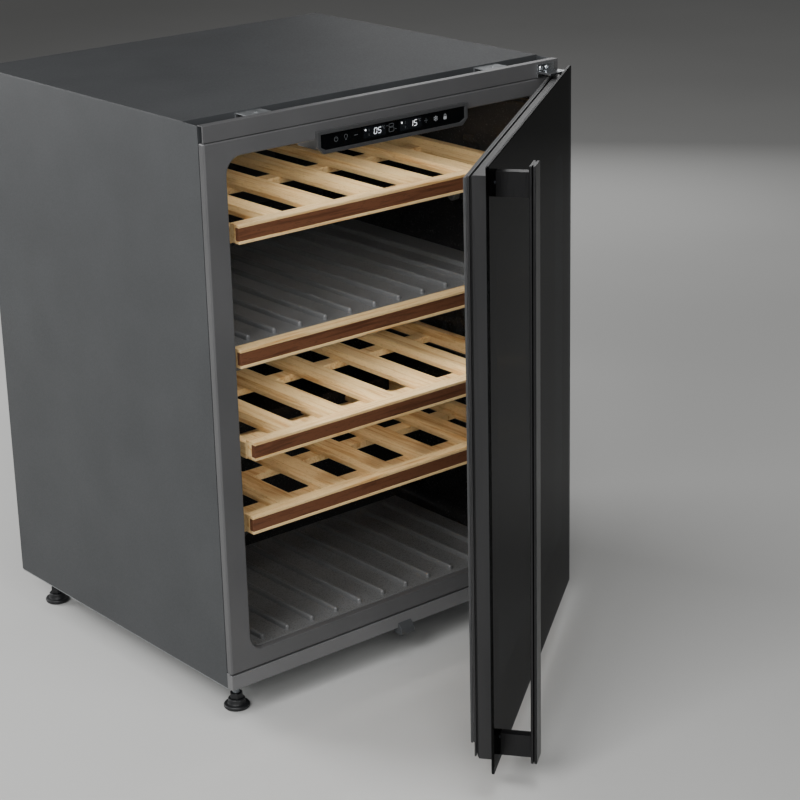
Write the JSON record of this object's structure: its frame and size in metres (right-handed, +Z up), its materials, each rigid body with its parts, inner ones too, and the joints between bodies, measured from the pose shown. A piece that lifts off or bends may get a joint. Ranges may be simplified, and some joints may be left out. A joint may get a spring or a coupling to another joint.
{
  "type": "wine cooler",
  "caption": "Built-under two-zone wine cooler with a dark ajar glass door, full-height bar handle, touch panel and slatted wooden shelves.",
  "frame": {"origin": "bottom centre of the whole cooler with its door ajar as stored: x = 0 is the middle of the cabinet and z = 0 the floor under the feet", "axes": "+X to the right along the front, towards the hinge; +Y from the handle back into the cabinet; +Z up"},
  "size_m": [0.5987, 0.9456, 0.818],
  "materials": {
    "cabinet_steel": "matt powder coat",
    "galvanised_steel": "galvanised",
    "insulating_foam": "rigid polyurethane foam",
    "dark_liner": "satin moulded polystyrene",
    "grey_moulding": "fine textured",
    "front_grey": "satin",
    "touch_glass": "gloss",
    "circuit_board": "solder mask",
    "light_diffuser": "opal",
    "light_beech": "satin lacquer",
    "walnut": "satin lacquer",
    "cooling_aluminium": "bare",
    "charcoal": "open cell",
    "black_steel": "gloss black enamel",
    "rubber_black": "matt",
    "copper": "drawn copper tube",
    "black_plastic": "moulded",
    "tinted_glass": "black printed border, tinted window",
    "clear_glass": "low-emissivity",
    "door_black": "satin anodised"
  },
  "bodies": {
    "cabinet": {"side_panel_left": "cabinet_steel", "side_panel_right": "cabinet_steel", "top_panel": "cabinet_steel", "back_panel": "galvanised_steel", "base_pan": "galvanised_steel", "insulation_foam": "insulating_foam", "inner_liner": "dark_liner", "floor_tray": "grey_moulding", "front_frame": "front_grey", "top_trim": "front_grey", "kick_strip": "front_grey", "door_stop_block": "front_grey", "control_bezel": "front_grey", "control_glass": "touch_glass", "control_board": "circuit_board", "light_bars": "light_diffuser", "zone_divider": "grey_moulding", "divider_trim": "light_beech", "divider_inlay": "walnut", "shelf_runners": "dark_liner", "duct_covers": "dark_liner", "evaporators": "cooling_aluminium", "fan_frames": "dark_liner", "carbon_filter": "charcoal", "temperature_probes": "light_diffuser", "compressor": "black_steel", "compressor_mounts": "rubber_black", "condenser": "cooling_aluminium", "drip_tray": "black_plastic", "refrigerant_pipework": "copper", "power_inlet": "black_plastic", "worktop_brackets": "galvanised_steel", "hinge_brackets": "galvanised_steel", "hinge_pins": "galvanised_steel", "hinge_screws": "galvanised_steel"},
    "upper_shelf": {"upper_shelf_trim": "light_beech", "upper_shelf_inlay": "walnut", "upper_shelf_deck": "light_beech"},
    "middle_shelf": {"middle_shelf_trim": "light_beech", "middle_shelf_inlay": "walnut", "middle_shelf_deck": "light_beech"},
    "lower_shelf": {"lower_shelf_trim": "light_beech", "lower_shelf_inlay": "walnut", "lower_shelf_deck": "light_beech"},
    "upper_fan": {"upper_fan_rotor": "dark_liner"},
    "lower_fan": {"lower_fan_rotor": "dark_liner"},
    "condenser_fan": {"condenser_fan_rotor": "dark_liner"},
    "front_left_foot": {"foot_front_left": "black_plastic"},
    "front_right_foot": {"foot_front_right": "black_plastic"},
    "rear_left_foot": {"foot_rear_left": "black_plastic"},
    "rear_right_foot": {"foot_rear_right": "black_plastic"},
    "door": {"door_glass": "tinted_glass", "door_frame": "door_black", "glass_spacer": "cooling_aluminium", "door_inner_glass": "clear_glass", "door_gasket": "rubber_black", "handle_bar": "door_black", "handle_blocks": "door_black", "handle_screws": "galvanised_steel", "hinge_bushes": "black_plastic"}
  },
  "joints": [
    {"name": "door_swing", "type": "hinge", "parent": "cabinet", "child": "door", "pos_m": [0.287, -0.09469, 0.43], "axis": [0, 0, 1], "range_deg": [-37, 68]},
    {"name": "upper_shelf_slide", "type": "slide", "parent": "cabinet", "child": "upper_shelf", "axis": [0, -1, 0], "range_m": [0, 0.024]},
    {"name": "middle_shelf_slide", "type": "slide", "parent": "cabinet", "child": "middle_shelf", "axis": [0, -1, 0], "range_m": [-0.012, 0.012]},
    {"name": "lower_shelf_slide", "type": "slide", "parent": "cabinet", "child": "lower_shelf", "axis": [0, -1, 0], "range_m": [0, 0.024]},
    {"name": "upper_fan_spin", "type": "hinge", "parent": "cabinet", "child": "upper_fan", "pos_m": [-0.06, 0.40581, 0.652], "axis": [0, 1, 0], "continuous": true},
    {"name": "lower_fan_spin", "type": "hinge", "parent": "cabinet", "child": "lower_fan", "pos_m": [-0.06, 0.40581, 0.4], "axis": [0, 1, 0], "continuous": true},
    {"name": "condenser_fan_spin", "type": "hinge", "parent": "cabinet", "child": "condenser_fan", "pos_m": [-0.09, 0.37781, 0.142], "axis": [1, 0, 0], "continuous": true},
    {"name": "front_left_foot_screw", "type": "slide", "parent": "cabinet", "child": "front_left_foot", "axis": [0, 0, -1], "range_m": [0, 0.02]},
    {"name": "front_right_foot_screw", "type": "slide", "parent": "cabinet", "child": "front_right_foot", "axis": [0, 0, -1], "range_m": [0, 0.02]},
    {"name": "rear_left_foot_screw", "type": "slide", "parent": "cabinet", "child": "rear_left_foot", "axis": [0, 0, -1], "range_m": [0, 0.02]},
    {"name": "rear_right_foot_screw", "type": "slide", "parent": "cabinet", "child": "rear_right_foot", "axis": [0, 0, -1], "range_m": [0, 0.02]}
  ]
}
